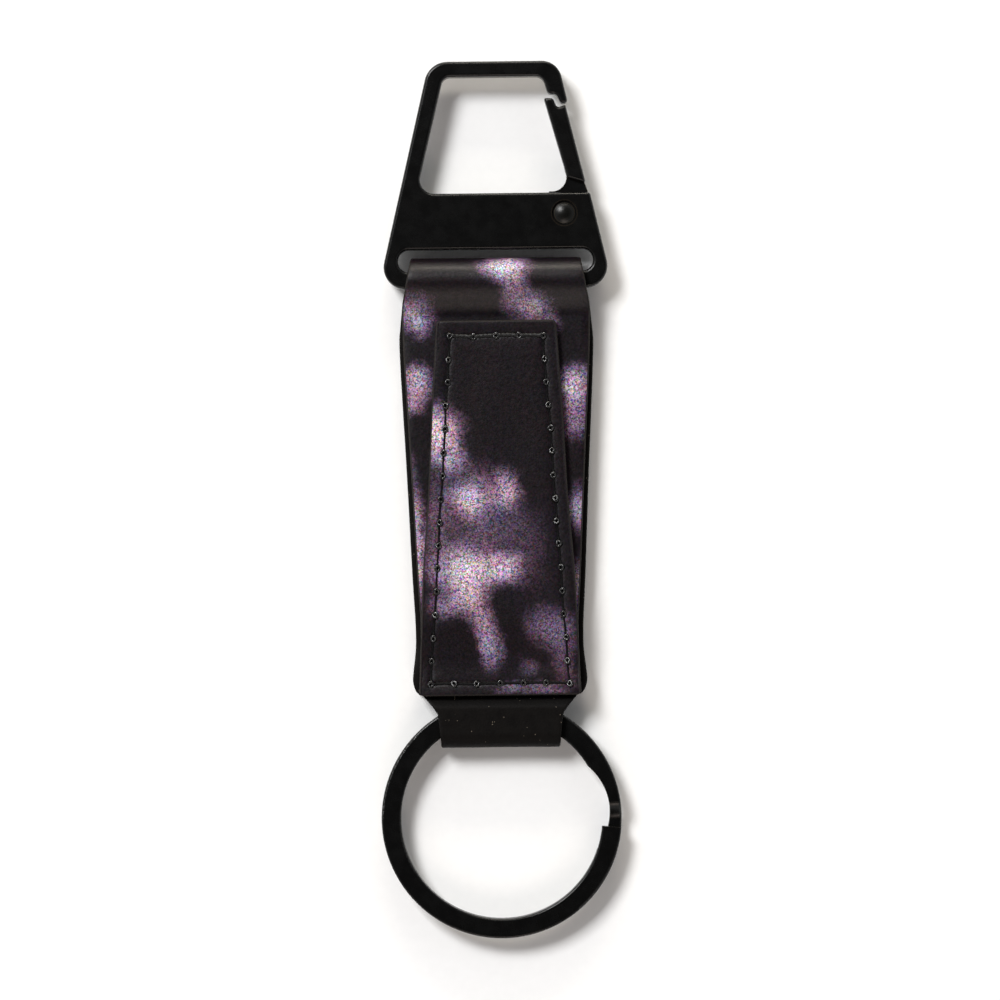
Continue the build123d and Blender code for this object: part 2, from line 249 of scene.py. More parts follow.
def leather_strip(name, rows, columns, relief=None):
    """A strip of leather with rounded edges.

    Each row is (outer y, outer z, inner y, inner z, half-width, place along the strip, end inset). The outer
    face gets the given columns and is moved by relief(x, y) along its own normal.
    """
    inner_count = 13
    turns = np.linspace(0, math.pi / 2, 5)
    points, flats, insets = [], [], []
    first, last = rows[0][5], rows[-1][5]
    for outer_y, outer_z, inner_y, inner_z, half, place, end in rows:
        outer = np.array([outer_y, outer_z])
        inner = np.array([inner_y, inner_z])
        thick = np.linalg.norm(inner - outer)
        round_off = min(EDGE, 0.42 * thick)
        reach = half - end - round_off
        face_x = columns(outer_y, reach)
        side_x = reach + round_off * np.sin(turns[1:])
        side_depth = round_off * (1 - np.cos(turns[1:]))
        low_x = np.linspace(reach, -reach, inner_count)
        x = np.concatenate([face_x, side_x, side_x[::-1], low_x, -side_x, -side_x[::-1]])
        depth = np.concatenate([
            np.zeros(len(face_x)), side_depth, thick - side_depth[::-1],
            np.full(inner_count, thick), thick - side_depth, side_depth[::-1]])
        share = (end + depth * (1 - 2 * end / thick)) / thick
        side = outer + (inner - outer) * share[:, None]
        points.append(np.column_stack([x, side]))
        flats.append(np.column_stack([x, np.full(len(x), place), depth]))
        from_end = min(abs(place - first), abs(last - place))
        insets.append(np.minimum(half - np.abs(x), from_end))
    ring = len(points[0])
    face = len(face_x)
    grid = np.array(points)
    if relief is not None:
        outer = np.array([row[0:2] for row in rows])
        inner = np.array([row[2:4] for row in rows])
        out = (outer - inner) / np.linalg.norm(outer - inner, axis=1)[:, None]
        lift = relief(grid[:, :face, 0], grid[:, :face, 1])
        grid[:, :face, 1:] += lift[:, :, None] * out[:, None, :]
    faces = []
    for row in range(len(rows) - 1):
        for k in range(ring):
            after = (k + 1) % ring
            faces.append((row * ring + k, row * ring + after, (row + 1) * ring + after, (row + 1) * ring + k))
    base = (len(rows) - 1) * ring
    faces.append(tuple(range(ring))[::-1])
    faces.append(tuple(range(base, base + ring)))
    obj = make_mesh(name, grid.reshape(-1, 3), faces)
    add_attribute(obj, "flat", "FLOAT_VECTOR", np.concatenate(flats))
    add_attribute(obj, "inset", "FLOAT", np.concatenate(insets))
    return obj


def make_mesh(name, points, faces):
    """A smooth-shaded object from points in millimetres, with its faces turned outwards."""
    mesh = bpy.data.meshes.new(name)
    mesh.from_pydata((np.asarray(points) * MM).tolist(), [], [tuple(f) for f in faces])
    mesh.validate()
    corners = np.array([v.co for v in mesh.vertices])
    volume = 0.0
    mesh.calc_loop_triangles()
    for triangle in mesh.loop_triangles:
        a, b, c = corners[list(triangle.vertices)]
        volume += float(np.dot(a, np.cross(b, c)))
    if volume < 0:
        mesh.flip_normals()
    mesh.shade_smooth()
    obj = bpy.data.objects.new(name, mesh)
    bpy.context.scene.collection.objects.link(obj)
    return obj


def add_attribute(obj, name, kind, values):
    attribute = obj.data.attributes.new(name, kind, "POINT")
    field = "vector" if kind == "FLOAT_VECTOR" else "value"
    attribute.data.foreach_set(field, np.asarray(values, np.float32).ravel())


def end_insets(places, first, last):
    """Rounding of a strip's two cut ends: how far each row is drawn in."""
    near = np.minimum(np.abs(places - first), np.abs(places - last))
    t = np.clip(1 - near / EDGE, 0.0, 1.0)
    return EDGE * (1 - np.sqrt(1 - t * t))


def rounded_stations(*stops):
    """Stations with a few more rows close to both ends, for the rounding there."""
    places = stations(*stops)
    turns = EDGE * (1 - np.cos(np.linspace(0, math.pi / 2, 6)))
    down = -1 if places[-1] < places[0] else 1
    start = places[0] + down * turns
    finish = places[-1] - down * turns[::-1]
    middle = places[(np.abs(places - places[0]) > EDGE * 1.3) & (np.abs(places - places[-1]) > EDGE * 1.3)]
    return np.concatenate([start, middle, finish])


def fine_near(low, high, step, fine_places, fine_step):
    """Runs between two places, finer within 0.9 mm of each of the fine places."""
    cuts = [high]
    runs = []
    for place in sorted(fine_places, reverse=True):
        runs.append((cuts[-1], place + 0.9, step))
        runs.append((place + 0.9, place - 0.9, fine_step))
        cuts.append(place - 0.9)
    runs.append((cuts[-1], low, step))
    return runs


def make_front_panel():
    places = rounded_stations(*fine_near(PANEL_BOTTOM, PANEL_TOP, 0.22, (21.8, -24.4), 0.09))
    insets = end_insets(places, PANEL_TOP, PANEL_BOTTOM)
    rows = []
    for y, end in zip(places, insets):
        dip = float(panel_dip(y))
        rows.append((y, PANEL_LOW + PANEL + dip, y, PANEL_LOW + dip, float(panel_half(y)), y, end))

    def relief(x, y):
        sewn = sewn_relief(x.ravel(), y.ravel(), 0.22).reshape(x.shape)
        half = panel_half(y)
        edge_drop = -0.05 * np.exp(-((half - np.abs(x)) / 0.6) ** 2)
        return sewn + edge_drop + waves(x, y, 0.05, 9.0, 3)

    return leather_strip("printed_panel", rows, lambda y, reach: sewn_columns(y, reach, 26), relief)


def strap_side_rows():
    """Side view of the printed strap: its back leg, the fold over the clip's bar and its front leg."""
    rows = []
    back = rounded_stations(*fine_near(BACK_END, FOLD_Y, 0.3, (21.8, -24.4), 0.1))[::-1]
    back = back[back < FOLD_Y - 0.01]
    for y in back:
        inner_z = float(ramp(y, BACK_SKIVE, LEATHER, BACK_END, BACK_END_THICKNESS))
        rows.append((y, 0.0, y, inner_z, y))
    fold_turns = np.linspace(0, math.pi, 46)
    for turn in fold_turns:
        sine, cosine = math.sin(turn), math.cos(turn)
        rows.append((FOLD_Y + FOLD_OUTER * sine, FOLD_Z - FOLD_OUTER * cosine,
                     FOLD_Y + FOLD_INNER * sine, FOLD_Z - FOLD_INNER * cosine,
                     FOLD_Y + FOLD_OUTER * turn))
    fold_length = FOLD_OUTER * math.pi
    front = stations((FOLD_Y, LEG_START - 1.0, 0.2), (LEG_START - 1.0, LEG_END + 1.0, 0.35),
                     (LEG_END + 1.0, LEG_END + EDGE, 0.1), (LEG_END + EDGE, LEG_END, 0.05))[1:]
    for y in front:
        outer_z = float(ramp(y, FOLD_Y, FOLD_Z + FOLD_OUTER, LEG_START, PANEL_LOW))
        outer_z -= 0.3 * max(0.0, (LEG_SKIVE - y) / (LEG_SKIVE - LEG_END))
        inner_z = float(ramp(y, FOLD_Y, FOLD_Z + FOLD_INNER, LEG_START, LEG_LOW))
        rows.append((y, outer_z, y, inner_z, FOLD_Y + fold_length + (FOLD_Y - y)))
    return rows


def make_printed_strap():
    side = strap_side_rows()
    places = np.array([row[4] for row in side])
    insets = end_insets(places, places[0], places[-1])
    thin_end = 0.4 * BACK_END_THICKNESS / EDGE
    rows = []
    for (outer_y, outer_z, inner_y, inner_z, place), end in zip(side, insets):
        end = end * (thin_end if place < FOLD_Y else 1.0)
        rows.append((outer_y, outer_z, inner_y, inner_z, float(strap_half(outer_y)), place, end))

    def relief(x, y):
        lift = waves(x, y, 0.045, 11.0, 5)
        on_back = np.zeros(x.shape, bool)
        on_back[places < FOLD_Y - 1.0] = True
        sewn = sewn_relief(x[on_back], y[on_back], 0.3)
        lift[on_back] = sewn - 0.02
        return lift * smooth((np.abs(places - places[0])) / 1.0)[:, None]

    return leather_strip("printed_strap", rows, lambda y, reach: sewn_columns(y, reach, 22), relief)


def black_side_rows():
    """Side view of the black leather: back layer, round the split ring, and back as the front layer."""
    rows = []
    lifted = LINING_MID + STITCHED_LIFT
    rise = LOOP_HIGH - LINING - lifted

    def back_row(y):
        outer_z = float(ramp(y, -22.5, LINING_LOW, -27.4, LOOP_LOW))
        inner_z = float(ramp(y, -22.5, LINING_MID, -26.6, LOOP_LOW + LINING))
        return (y, outer_z, y, inner_z)

    def front_row(y):
        outer_z = float(ramp(y, -19.0, LEG_LOW, -23.0, lifted + LINING) + ramp(y, -25.2, 0.0, -27.8, rise))
        inner_z = float(ramp(y, -19.0, LINING_MID, -23.0, lifted) + ramp(y, -24.6, 0.0, -27.2, rise))
        return (y, outer_z, y, inner_z)

    legs = stations((LINING_TOP, LINING_TOP - 0.3, 0.06), (LINING_TOP - 0.3, -18.0, 0.6),
                    (-18.0, -23.7, 0.25), (-23.7, -26.0, 0.12), (-26.0, LOOP_CORNER_Y, 0.16))
    for y in legs:
        rows.append(back_row(y))
    outer_round = 1.9
    inner_round = 0.9
    turns = np.linspace(0, math.pi / 2, 13)[1:]
    low_z = LOOP_LOW + outer_round
    high_z = LOOP_HIGH - outer_round
    for turn in turns:
        sine, cosine = math.sin(turn), math.cos(turn)
        rows.append((LOOP_CORNER_Y - outer_round * sine, low_z - outer_round * cosine,
                     LOOP_CORNER_Y - inner_round * sine, low_z - inner_round * cosine))
    for z in np.linspace(low_z, high_z, 7)[1:-1]:
        rows.append((LOOP_CORNER_Y - outer_round, z, LOOP_CORNER_Y - inner_round, z))
    for turn in turns[::-1]:
        sine, cosine = math.sin(turn), math.cos(turn)
        rows.append((LOOP_CORNER_Y - outer_round * sine, high_z + outer_round * cosine,
                     LOOP_CORNER_Y - inner_round * sine, high_z + inner_round * cosine))
    for y in legs[::-1]:
        rows.append(front_row(y))
    return rows


def make_black_strap():
    side = black_side_rows()
    outer = np.array([row[0:2] for row in side])
    steps = np.linalg.norm(np.diff(outer, axis=0), axis=1)
    places = np.concatenate([[0.0], np.cumsum(steps)])
    insets = end_insets(places, places[0], places[-1])
    rows = []
    for (outer_y, outer_z, inner_y, inner_z), place, end in zip(side, places, insets):
        rows.append((outer_y, outer_z, inner_y, inner_z, float(lining_half(outer_y)), place, end))

    def relief(x, y):
        return waves(x, y, 0.04, 7.0, 11) * smooth((LOOP_CORNER_Y + 8.0 - y) / 4.0)

    return leather_strip("black_leather", rows, lambda y, reach: plain_columns(y, reach, 61), relief)


# ---- Sewing thread ----
def tube(path, radii, sides, plies, twist):
    """Points and faces of a twisted thread, or a round wire of no plies, closed with a fan at both ends."""
    path = np.asarray(path, float)
    along = np.gradient(path, axis=0)
    along /= np.linalg.norm(along, axis=1)[:, None]
    length = np.concatenate([[0.0], np.cumsum(np.linalg.norm(np.diff(path, axis=0), axis=1))])
    side = np.cross(along, [0.0, 0.0, 1.0])
    side[np.linalg.norm(side, axis=1) < 1e-6] = [1.0, 0.0, 0.0]
    side /= np.linalg.norm(side, axis=1)[:, None]
    up = np.cross(side, along)
    turns = np.linspace(0, 2 * math.pi, sides, endpoint=False)
    points = []
    for k in range(len(path)):
        lobes = 1 + 0.13 * np.cos(plies * (turns + twist * length[k])) if plies else np.ones(sides)
        ring = side[k] * np.cos(turns)[:, None] + up[k] * np.sin(turns)[:, None]
        points.append(path[k] + ring * (radii[k] * lobes)[:, None])
    points = np.concatenate(points)
    faces = []
    for k in range(len(path) - 1):
        for j in range(sides):
            after = (j + 1) % sides
            faces.append((k * sides + j, k * sides + after, (k + 1) * sides + after, (k + 1) * sides + j))
    first, last = len(points), len(points) + 1
    points = np.vstack([points, path[0], path[-1]])
    base = (len(path) - 1) * sides
    for j in range(sides):
        after = (j + 1) % sides
        faces.append((first, after, j))
        faces.append((last, base + j, base + after))
    return points, faces


def stitch_path(start, end, surface, up, bulge, sunk, slack, sign):
    """One stitch: out of a hole, along the leather and into the next hole."""
    along = end - start
    span = np.linalg.norm(along)
    along = along / span
    across = np.array([-along[1], along[0]]) * sign
    t = np.linspace(0, 1, 26)
    from_hole = np.minimum(t, 1 - t) * span
    into = np.exp(-((from_hole / 0.3) ** 2))
    shoulder = np.exp(-(((from_hole - 0.42) / 0.26) ** 2))
    lateral = 0.13 * np.sign(0.5 - t) * np.exp(-((from_hole / 0.45) ** 2)) + slack * np.sin(math.pi * t)
    reach = (t - 0.5) * (span + 0.24) + span / 2
    x = start[0] + along[0] * reach + across[0] * lateral
    y = start[1] + along[1] * reach + across[1] * lateral
    height = -0.62 * into + bulge * shoulder - (0.08 + sunk) * (1 - into)
    return np.column_stack([x, y, surface(y) + up * height])


def knot_path(hole, surface, up, random):
    """A tight turn of thread round the mouth of a hole."""
    turn = random.uniform(0, 2 * math.pi) + np.linspace(0, 2.6 * math.pi, 30)
    reach = 0.35 - 0.06 * np.linspace(0, 1, 30)
    tilt = 0.09 * np.sin(turn + random.uniform(0, 2 * math.pi))
    x = hole[0] + 0.85 * reach * np.cos(turn)
    y = hole[1] + reach * np.sin(turn)
    rise = np.sin(np.linspace(0, math.pi, 30))
    height = -0.3 + 0.4 * np.sqrt(rise) + tilt * rise
    return np.column_stack([x, y, surface(y) + up * height])


def make_thread(name, surface, up, seed):
    """All the stitches on one face. The mesh's "lump" attribute is 1 where the thread is pulled tight."""
    random = np.random.default_rng(seed)
    all_points, all_faces, lumps = [], [], []
    count = 0
    top_count, side_count, bottom_count, _ = STITCH_COUNTS
    for index, (start, end) in enumerate(zip(HOLES, NEXT_HOLES)):
        on_top = index < top_count
        on_bottom = top_count + side_count <= index < top_count + side_count + bottom_count
        # Radius between the holes, radius at the holes, and how deep the thread lies in the leather.
        middle, wide, sunk = 0.15, 0.24, 0.1
        if on_top:
            middle, wide, sunk = 0.27, 0.3, 0.02
        elif on_bottom:
            middle, wide, sunk = 0.19, 0.25, 0.1
        t = np.linspace(0, 1, 26)
        ends = np.exp(-((np.minimum(t, 1 - t) / 0.15) ** 2))
        radii = middle + (wide - middle) * ends + random.uniform(-0.015, 0.015, 26)
        bulge = random.uniform(0.06, 0.16) if up > 0 else 0.02
        slack = random.uniform(-0.07, 0.07)
        run = stitch_path(start, end, surface, up, bulge, sunk, slack, random.choice([-1.0, 1.0]))
        knot = knot_path(start, surface, up, random)
        thick = np.full(len(knot), random.uniform(0.12, 0.17))
        for path, sizes, lump in ((run, radii, 0.35 if on_top else 0.0), (knot, thick, 1.0)):
            points, faces = tube(path, sizes, 12, 2, 5.0)
            all_points.append(points)
            all_faces.extend([tuple(k + count for k in face) for face in faces])
            lumps.append(np.full(len(points), lump))
            count += len(points)
    points = np.concatenate(all_points)
    if up < 0:
        points[:, 2] = np.maximum(points[:, 2], 0.01)
    thread = make_mesh(name, points, all_faces)
    add_attribute(thread, "lump", "FLOAT", np.concatenate(lumps))
    return thread


# ---- Material helpers ----
class Tree:
    """A material's node tree, with short calls to add and join nodes."""

    def __init__(self, name):
        self.material = bpy.data.materials.new(name)
        self.material.use_nodes = True
        self.tree = self.material.node_tree
        self.tree.nodes.clear()
        self.shader = self.add("ShaderNodeBsdfPrincipled")
        self.output = self.add("ShaderNodeOutputMaterial")
        self.join(self.shader.outputs[0], self.output.inputs["Surface"])

    def add(self, kind, **settings):
        node = self.tree.nodes.new(kind)
        for key, value in settings.items():
            setattr(node, key, value)
        return node

    def join(self, source, target):
        """Link a socket, or set a constant."""
        if isinstance(source, bpy.types.NodeSocket):
            self.tree.links.new(source, target)
        else:
            target.default_value = source

    def attribute(self, name, output):
        return self.add("ShaderNodeAttribute", attribute_name=name).outputs[output]

    def math(self, operation, a, b=0.0, c=0.0, clamp=False):
        node = self.add("ShaderNodeMath", operation=operation, use_clamp=clamp)
        for socket, value in zip(node.inputs, (a, b, c)):
            self.join(value, socket)
        return node.outputs[0]

    def vector(self, operation, a, b=(0.0, 0.0, 0.0)):
        node = self.add("ShaderNodeVectorMath", operation=operation)
        if operation == "SCALE":
            self.join(a, node.inputs[0])
            self.join(b, node.inputs["Scale"])
        else:
            self.join(a, node.inputs[0])
            self.join(b, node.inputs[1])
        return node.outputs["Value" if operation in ("LENGTH", "DOT_PRODUCT", "DISTANCE") else "Vector"]

    def noise(self, at, scale, detail=2.0, roughness=0.5, output="Fac", distortion=0.0):
        node = self.add("ShaderNodeTexNoise")
        self.join(at, node.inputs["Vector"])
        node.inputs["Scale"].default_value = scale
        node.inputs["Detail"].default_value = detail
        node.inputs["Roughness"].default_value = roughness
        node.inputs["Distortion"].default_value = distortion
        return node.outputs[output]

    def cells(self, at, scale, output="Distance", feature="F1", randomness=1.0):
        node = self.add("ShaderNodeTexVoronoi", feature=feature)
        self.join(at, node.inputs["Vector"])
        node.inputs["Scale"].default_value = scale
        node.inputs["Randomness"].default_value = randomness
        return node.outputs[output]

    def remap(self, value, low, high, to_low=0.0, to_high=1.0, soft=False):
        node = self.add("ShaderNodeMapRange", interpolation_type="SMOOTHSTEP" if soft else "LINEAR")
        for socket, number in zip(node.inputs, (value, low, high, to_low, to_high)):
            self.join(number, socket)
        return node.outputs[0]

    def mix(self, share, a, b, kind="MIX"):
        node = self.add("ShaderNodeMix", data_type="RGBA", blend_type=kind)
        self.join(share, node.inputs["Factor"])
        self.join(a, node.inputs["A"])
        self.join(b, node.inputs["B"])
        return node.outputs["Result"]

    def colours(self, value, *stops):
        """A colour ramp of (place, colour) stops."""
        node = self.add("ShaderNodeValToRGB")
        self.join(value, node.inputs["Fac"])
        ramp_stops = node.color_ramp.elements
        while len(ramp_stops) < len(stops):
            ramp_stops.new(1.0)
        for stop, (place, colour) in zip(ramp_stops, stops):
            stop.position = place
            stop.color = colour
        return node.outputs["Color"]

    def bump(self, height, strength, distance, normal=None):
        node = self.add("ShaderNodeBump")
        node.inputs["Strength"].default_value = strength
        node.inputs["Distance"].default_value = distance
        self.join(height, node.inputs["Height"])
        if normal is not None:
            self.join(normal, node.inputs["Normal"])
        return node.outputs["Normal"]

    def finish(self, colour, roughness, normal, **constants):
        self.join(colour, self.shader.inputs["Base Color"])
        self.join(roughness, self.shader.inputs["Roughness"])
        self.join(normal, self.shader.inputs["Normal"])
        for key, value in constants.items():
            self.shader.inputs[key.replace("_", " ")].default_value = value
        return self.material


def srgb(red, green, blue):
    """A colour given as 0 to 255 screen values, as the linear colour that a shader takes."""
    linear = []
    for value in (red, green, blue):
        value /= 255
        linear.append(value / 12.92 if value <= 0.04045 else ((value + 0.055) / 1.055) ** 2.4)
    return (*linear, 1.0)


# ---- Printed leather ----
# Pale clouds of the print: (x, y, half-width, half-height, strength), in millimetres.
# On the strap the leather goes on past the fold, so the clouds from y = 43 on are on its back.
PANEL_CLOUDS = [
    (-7.6, 9.2, 2.7, 3.1, 1.0),
    (-8.7, 10.0, 1.2, 1.4, 0.6),
    (-6.2, 5.3, 1.8, 1.8, 0.68),
    (-3.8, 0.3, 2.3, 2.1, 0.95),
    (1.0, 1.2, 1.7, 2.3, 0.76),
    (-2.0, -3.6, 5.4, 4.4, 0.36),
    (-8.4, -2.0, 1.8, 9.0, 0.3),
    (-2.0, 3.4, 3.4, 2.4, 0.2),
    (4.6, -8.0, 2.6, 6.0, 0.16),
    (-4.5, -9.5, 3.5, 2.8, 1.0),
    (0.5, -9.0, 2.6, 1.9, 0.88),
    (-4.0, -12.6, 1.9, 2.2, 0.8),
    (-6.8, -14.2, 2.4, 1.5, 0.5),
    (-2.3, -15.8, 1.4, 2.0, 0.6),
    (-1.3, -18.8, 1.3, 2.2, 0.7),
    (-0.8, -21.2, 1.5, 1.7, 0.36),
    (6.2, -17.0, 2.7, 2.3, 0.4),
    (8.6, -20.0, 1.7, 4.5, 0.34),
    (3.8, -22.4, 1.5, 1.3, 0.3),
    (1.6, -25.1, 2.4, 0.8, 0.42),
    (6.0, -25.1, 1.9, 0.8, 0.38),
]
STRAP_CLOUDS = [
    (-11.5, 25.2, 2.6, 2.3, 0.62),
    (-10.0, 23.2, 1.6, 1.9, 0.5),
    (-10.7, 16.0, 1.9, 2.0, 0.8),
    (-11.5, 13.0, 1.8, 1.7, 0.64),
    (-11.8, 4.5, 1.2, 2.0, 0.36),
    (-11.4, -2.0, 1.4, 3.6, 0.75),
    (-11.0, -8.5, 1.4, 4.4, 0.92),
    (10.5, 15.0, 2.1, 2.5, 0.92),
    (10.5, 10.5, 2.3, 2.7, 0.5),
    (10.8, -1.0, 1.6, 2.4, 0.72),
    (11.0, -11.0, 1.4, 3.0, 0.6),
    (11.0, -16.5, 1.4, 3.4, 0.8),
    (1.2, 31.2, 2.8, 1.9, 1.0),
    (2.2, 28.6, 1.9, 1.7, 0.5),
    (4.4, 25.8, 2.6, 1.9, 0.72),
    (7.4, 23.6, 1.4, 1.2, 0.4),
    (-7.0, 43.0, 4.2, 3.4, 0.7),
    (-2.5, 46.5, 3.0, 2.2, 0.9),
    (-1.0, 52.0, 2.2, 4.6, 0.6),
    (9.0, 54.0, 3.2, 6.0, 0.45),
    (-9.0, 58.0, 2.6, 5.4, 0.4),
    (2.5, 62.0, 3.2, 2.6, 0.95),
    (-1.5, 65.5, 4.4, 2.4, 0.6),
    (-4.5, 71.0, 3.4, 3.4, 0.95),
    (0.5, 73.5, 2.8, 2.2, 0.7),
    (7.5, 79.0, 2.4, 5.6, 0.5),
    (-2.0, 81.5, 5.0, 2.2, 0.6),
    (-7.0, 86.5, 2.6, 3.4, 0.85),
    (3.0, 90.0, 4.6, 2.0, 0.5),
]


def printed_leather(name, clouds, front_place):
    """Dark leather with an air-brushed print of pale mauve clouds.

    The mesh's "flat" attribute is the leather laid out flat, in millimetres: across, along and depth.
    front_place(tree, along) turns the distance along into the y of the front face.
    """
    t = Tree(name)
    flat = t.attribute("flat", "Vector")
    split = t.add("ShaderNodeSeparateXYZ")
    t.join(flat, split.inputs[0])
    across, along, depth = split.outputs
    place = t.add("ShaderNodeCombineXYZ")
    t.join(across, place.inputs[0])
    t.join(front_place(t, along), place.inputs[1])
    at = place.outputs[0]

    # The outline of each cloud is pushed about by two sizes of noise.
    slow = t.vector("SCALE", t.vector("SUBTRACT", t.noise(at, 0.3, 2.0, 0.5, "Color"), (0.5, 0.5, 0.5)), 2.6)
    quick = t.vector("SCALE", t.vector("SUBTRACT", t.noise(at, 1.3, 2.0, 0.6, "Color"), (0.5, 0.5, 0.5)), 1.0)
    warped = t.vector("ADD", at, t.vector("ADD", slow, quick))
    density = None
    for x, y, wide, high, strength in clouds:
        offset = t.vector("SUBTRACT", warped, (x, y, 0.0))
        offset = t.vector("MULTIPLY", offset, (1 / wide, 1 / high, 0.0))
        cloud = t.remap(t.vector("LENGTH", offset), 1.9, 0.0, 0.0, strength, soft=True)
        if density is None:
            density = cloud
        else:
            density = t.math("MULTIPLY_ADD", cloud, t.math("SUBTRACT", 1.0, density), density)

    # Fine coloured grain, strongest where the print is pale.
    grain = t.cells(at, 5.6, "Color")
    fine = t.noise(at, 9.0, 1.0, 0.5, "Color")
    speckle = t.mix(0.5, grain, fine)
    pale_dots = t.vector("DOT_PRODUCT", t.cells(at, 6.1, "Color"), (1.0, 0.0, 0.0))
    spread = t.noise(at, 2.2, 2.0)
    unevenness = t.math("MULTIPLY", t.math("SUBTRACT", spread, 0.5), t.remap(density, 0.0, 0.3, 0.03, 0.3))
    dithered = t.math("ADD", density, unevenness)
    base = t.colours(
        dithered,
        (0.0, srgb(16, 10, 14)),
        (0.1, srgb(25, 18, 24)),
        (0.3, srgb(74, 60, 73)),
        (0.5, srgb(114, 97, 114)),
        (0.75, srgb(160, 147, 158)),
        (1.0, srgb(198, 193, 199)),
    )
    tone = t.colours(
        t.noise(at, 0.16, 1.0),
        (0.38, srgb(255, 233, 243)),
        (0.62, srgb(234, 237, 255)),
    )
    tinted = t.mix(1.0, base, tone, "MULTIPLY")
    swing = t.vector("SCALE", t.vector("SUBTRACT", speckle, (0.5, 0.5, 0.5)), 2.0)
    level = t.math("MULTIPLY_ADD", pale_dots, 1.6, 0.18)
    factor = t.vector("MAXIMUM", t.vector("ADD", swing, level), (0.15, 0.15, 0.15))
    colour = t.mix(1.0, tinted, factor, "MULTIPLY")

    # Cut edges are painted black, and the flesh side is dark suede.
    inset = t.attribute("inset", "Fac")
    ragged = t.math("ADD", inset, t.math("MULTIPLY", t.math("SUBTRACT", t.noise(at, 3.0, 2.0), 0.5), 0.1))
    painted = t.remap(ragged, 0.16, 0.24, 1.0, 0.0, soft=True)
    below = t.remap(depth, 0.1, 0.2, 0.0, 1.0)
    edge = t.math("MAXIMUM", painted, below)
    edge_colour = t.colours(t.noise(flat, 4.0, 3.0), (0.35, srgb(16, 13, 12)), (0.7, srgb(34, 27, 23)))
    colour = t.mix(edge, colour, edge_colour)

    pebble = t.cells(t.vector("ADD", flat, t.vector("SCALE", fine, 0.12)), 3.1, "Distance", "SMOOTH_F1")
    pores = t.noise(flat, 11.0, 2.0)
    crease = t.noise(flat, 0.8, 3.0, 0.6)
    height = t.math("ADD", t.math("MULTIPLY", pebble, 0.6), t.math("MULTIPLY", pores, 0.5))
    height = t.math("ADD", height, t.math("MULTIPLY", crease, 0.8))
    normal = t.bump(height, 0.4, 0.06 * MM)
    gloss = t.remap(t.noise(at, 1.6, 3.0), 0.3, 0.7, 0.34, 0.42)
    gloss = t.math("ADD", gloss, t.math("MULTIPLY", edge, 0.35))
    return t.finish(colour, gloss, normal, Specular_IOR_Level=0.28)


# ---- Other materials ----
def object_place(t):
    """Position in millimetres in the row frame."""
    return t.vector("SCALE", t.add("ShaderNodeTexCoord").outputs["Object"], 1 / MM)


def black_leather():
    t = Tree("black_leather")
    at = object_place(t)
    flat = t.attribute("flat", "Vector")
    inset = t.attribute("inset", "Fac")
    mottle = t.noise(at, 0.9, 4.0, 0.6)
    colour = t.colours(mottle, (0.3, srgb(5, 4, 4)), (0.7, srgb(11, 9, 8)))
    fine = t.noise(at, 7.0, 2.0)
    colour = t.mix(t.remap(fine, 0.35, 0.75, 0.0, 0.4), colour, srgb(19, 16, 14))
    edge = t.remap(inset, 0.1, 0.24, 1.0, 0.0, soft=True)
    colour = t.mix(edge, colour, srgb(14, 12, 11))
    # A few pale specks and fibres of dust.
    specks = t.cells(at, 1.15, "Distance")
    stretched = t.vector("MULTIPLY", at, (1.0, 0.35, 1.0))
    fibres = t.cells(t.vector("ADD", stretched, t.vector("SCALE", t.noise(at, 0.7, 1.0, 0.5, "Color"), 1.5)),
                     0.5, "Distance")
    dust = t.math("MAXIMUM", t.math("LESS_THAN", specks, 0.075), t.math("LESS_THAN", fibres, 0.04))
    colour = t.mix(t.math("MULTIPLY", dust, 0.6), colour, srgb(128, 118, 104))
    pebble = t.cells(t.vector("ADD", flat, t.vector("SCALE", fine, 0.2)), 3.6, "Distance", "SMOOTH_F1")
    height = t.math("ADD", t.math("MULTIPLY", pebble, 0.7), t.math("MULTIPLY", t.noise(at, 12.0, 2.0), 0.5))
    normal = t.bump(height, 0.4, 0.06 * MM)
    gloss = t.remap(mottle, 0.3, 0.7, 0.5, 0.62)
    return t.finish(colour, gloss, normal, Specular_IOR_Level=0.08)


def waxed_thread():
    t = Tree("waxed_thread")
    at = object_place(t)
    fuzz = t.noise(at, 14.0, 2.0)
    colour = t.colours(fuzz, (0.3, srgb(3, 3, 4)), (0.75, srgb(9, 8, 9)))
    normal = t.bump(t.noise(at, 9.0, 3.0), 0.6, 0.05 * MM)
    lump = t.attribute("lump", "Fac")
    gloss = t.remap(t.noise(at, 5.0, 2.0), 0.35, 0.65, 0.14, 0.28)
    gloss = t.remap(lump, 0.0, 1.0, 0.6, gloss)
    t.join(t.remap(lump, 0.0, 1.0, 0.12, 0.8), t.shader.inputs["Specular IOR Level"])
    return t.finish(colour, gloss, normal)


def lighter(colour, times):
    """A linear colour multiplied, with its alpha kept."""
    return (*(channel * times for channel in colour[:3]), 1.0)


